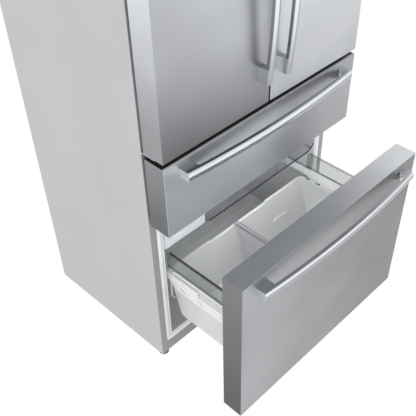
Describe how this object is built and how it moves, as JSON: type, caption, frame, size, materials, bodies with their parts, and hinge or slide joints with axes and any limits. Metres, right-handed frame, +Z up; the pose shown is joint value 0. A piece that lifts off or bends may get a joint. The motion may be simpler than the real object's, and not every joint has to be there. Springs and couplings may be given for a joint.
{
  "type": "bottom freezer refrigerator",
  "caption": "Free-standing refrigerator with French doors above, a chiller drawer in the middle and a pull-out freezer drawer at the bottom, each with a bowed bar handle.",
  "frame": {"origin": "on the floor, at the middle of the outline's width and depth with the freezer drawer standing open as at rest", "axes": "+X to the right as one faces the doors, +Y to the back, +Z up"},
  "size_m": [0.905, 1.0809, 1.829],
  "materials": {
    "stainless": "satin",
    "handle_metal": "satin",
    "side_metal": "satin",
    "galvanised": "satin",
    "black_metal": "satin",
    "hinge_metal": "satin",
    "zinc_steel": "satin",
    "bare_aluminium": "satin",
    "liner_plastic": "satin",
    "white_plastic": "satin",
    "bin_plastic": "satin",
    "clear_plastic": "gloss",
    "plinth_plastic": "matte",
    "cover_plastic": "satin",
    "foot_plastic": "matte",
    "roller_plastic": "matte",
    "seal": "matte",
    "shelf_glass": "gloss",
    "foam": "matte"
  },
  "bodies": {
    "cabinet": {"outer_case": "side_metal", "back_panel": "galvanised", "base_pan": "galvanised", "cabinet_foam": "foam", "fridge_liner": "liner_plastic", "chiller_liner": "liner_plastic", "freezer_liner": "liner_plastic", "front_crossbars": "side_metal", "toe_plinth": "plinth_plastic", "levelling_feet": "foot_plastic", "machine_cover": "galvanised", "compressor": "black_metal", "condenser": "black_metal", "water_valve": "white_plastic", "door_hinges": "hinge_metal", "hinge_covers": "cover_plastic", "air_ducts": "white_plastic", "shelves": "shelf_glass", "evaporator": "bare_aluminium", "ice_maker": "white_plastic", "fixed_rails": "zinc_steel"},
    "left_door": {"left_door_skin": "stainless", "left_door_foam": "foam", "left_door_liner": "liner_plastic", "left_door_gasket": "seal", "left_door_handle": "handle_metal", "left_door_bins": "clear_plastic"},
    "right_door": {"right_door_skin": "stainless", "right_door_foam": "foam", "right_door_liner": "liner_plastic", "right_door_gasket": "seal", "right_door_handle": "handle_metal", "right_door_bins": "clear_plastic"},
    "flap": {"door_flap": "liner_plastic"},
    "chiller_drawer": {"chiller_door_skin": "stainless", "chiller_door_foam": "foam", "chiller_door_liner": "liner_plastic", "chiller_door_gasket": "seal", "chiller_door_handle": "handle_metal", "chiller_rails_moving": "white_plastic", "chiller_bin": "clear_plastic"},
    "chiller_slides": {"chiller_rails_mid": "zinc_steel"},
    "freezer_drawer": {"freezer_door_skin": "stainless", "freezer_door_foam": "foam", "freezer_door_liner": "liner_plastic", "freezer_door_gasket": "seal", "freezer_door_handle": "handle_metal", "freezer_rails_moving": "white_plastic", "freezer_bin": "bin_plastic", "bin_divider": "clear_plastic", "freezer_side_panels": "clear_plastic"},
    "freezer_slides": {"freezer_rails_mid": "zinc_steel"},
    "left_crisper": {"crisper_left": "clear_plastic"},
    "right_crisper": {"crisper_right": "clear_plastic"},
    "ice_drawer": {"ice_bin": "white_plastic"},
    "tray": {"upper_tray": "clear_plastic"},
    "left_roller": {"roller_left": "roller_plastic"},
    "right_roller": {"roller_right": "roller_plastic"},
    "cooling_fan": {"condenser_fan": "roller_plastic"},
    "cold_air_fan": {"evaporator_fan": "white_plastic"}
  },
  "joints": [
    {"name": "left_door_hinge", "type": "hinge", "parent": "cabinet", "child": "left_door", "pos_m": [-0.43, -0.1215, 0.9626], "axis": [0, 0, -1], "range_deg": [0, 115]},
    {"name": "right_door_hinge", "type": "hinge", "parent": "cabinet", "child": "right_door", "pos_m": [0.43, -0.1215, 0.9626], "axis": [0, 0, 1], "range_deg": [0, 115]},
    {"name": "flap_hinge", "type": "hinge", "parent": "left_door", "child": "flap", "pos_m": [-0.036, -0.073, 1.0031], "axis": [0, 0, -1], "range_deg": [0, 90]},
    {"name": "chiller_slide", "type": "slide", "parent": "cabinet", "child": "chiller_drawer", "axis": [0, -1, 0], "range_m": [0, 0.4]},
    {"name": "chiller_mid_slide", "type": "slide", "parent": "cabinet", "child": "chiller_slides", "axis": [0, -1, 0], "range_m": [0, 0.2]},
    {"name": "freezer_slide", "type": "slide", "parent": "cabinet", "child": "freezer_drawer", "axis": [0, -1, 0], "range_m": [-0.306, 0.114]},
    {"name": "freezer_mid_slide", "type": "slide", "parent": "cabinet", "child": "freezer_slides", "axis": [0, -1, 0], "range_m": [-0.153, 0.057]},
    {"name": "left_crisper_slide", "type": "slide", "parent": "cabinet", "child": "left_crisper", "axis": [0, -1, 0], "range_m": [0, 0.065]},
    {"name": "right_crisper_slide", "type": "slide", "parent": "cabinet", "child": "right_crisper", "axis": [0, -1, 0], "range_m": [0, 0.065]},
    {"name": "ice_bin_slide", "type": "slide", "parent": "cabinet", "child": "ice_drawer", "axis": [0, -1, 0], "range_m": [0, 0.25]},
    {"name": "tray_slide", "type": "slide", "parent": "cabinet", "child": "tray", "axis": [0, -1, 0], "range_m": [0, 0.25]},
    {"name": "left_roller_spin", "type": "hinge", "parent": "cabinet", "child": "left_roller", "pos_m": [-0.415, 0.4625, 0.022], "axis": [1, 0, 0], "continuous": true},
    {"name": "right_roller_spin", "type": "hinge", "parent": "cabinet", "child": "right_roller", "pos_m": [0.415, 0.4625, 0.022], "axis": [1, 0, 0], "continuous": true},
    {"name": "cooling_fan_spin", "type": "hinge", "parent": "cabinet", "child": "cooling_fan", "pos_m": [-0.022, 0.4285, 0.098], "axis": [1, 0, 0], "continuous": true},
    {"name": "cold_air_fan_spin", "type": "hinge", "parent": "cabinet", "child": "cold_air_fan", "pos_m": [0, 0.4245, 0.565], "axis": [0, -1, 0], "continuous": true}
  ],
  "couplings": [
    {"joint": "chiller_mid_slide", "follows": "chiller_slide", "ratio": 0.5},
    {"joint": "freezer_mid_slide", "follows": "freezer_slide", "ratio": 0.5}
  ]
}
